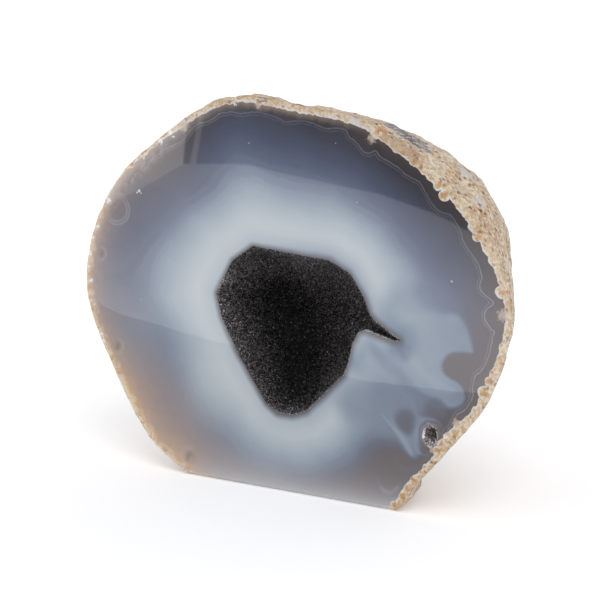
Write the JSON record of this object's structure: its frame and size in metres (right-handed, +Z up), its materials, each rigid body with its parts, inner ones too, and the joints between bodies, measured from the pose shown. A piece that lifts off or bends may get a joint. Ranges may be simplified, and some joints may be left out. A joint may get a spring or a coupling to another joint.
{
  "type": "agate geode half",
  "caption": "Polished half of an agate nodule standing on a sawn base, with pale grey-blue bands, a rough tan rind and an open hollow lined by small black crystals.",
  "frame": {"origin": "under the middle of the stone's box, on the plane of its sawn base", "axes": "+X to the right along the polished face, +Y from the polished face into the stone, +Z up from the base"},
  "size_m": [0.1248, 0.0466, 0.1031],
  "materials": {
    "agate": "polished banded chalcedony on the front face, rough cream and tan rind behind, sawn matt base",
    "hollow_crystals": "glossy black crystal druse",
    "pocket_crystals": "glossy grey crystal druse"
  },
  "bodies": {
    "root": {"agate": "agate", "hollow_crystals": "hollow_crystals", "pocket_crystals": "pocket_crystals"}
  },
  "joints": []
}
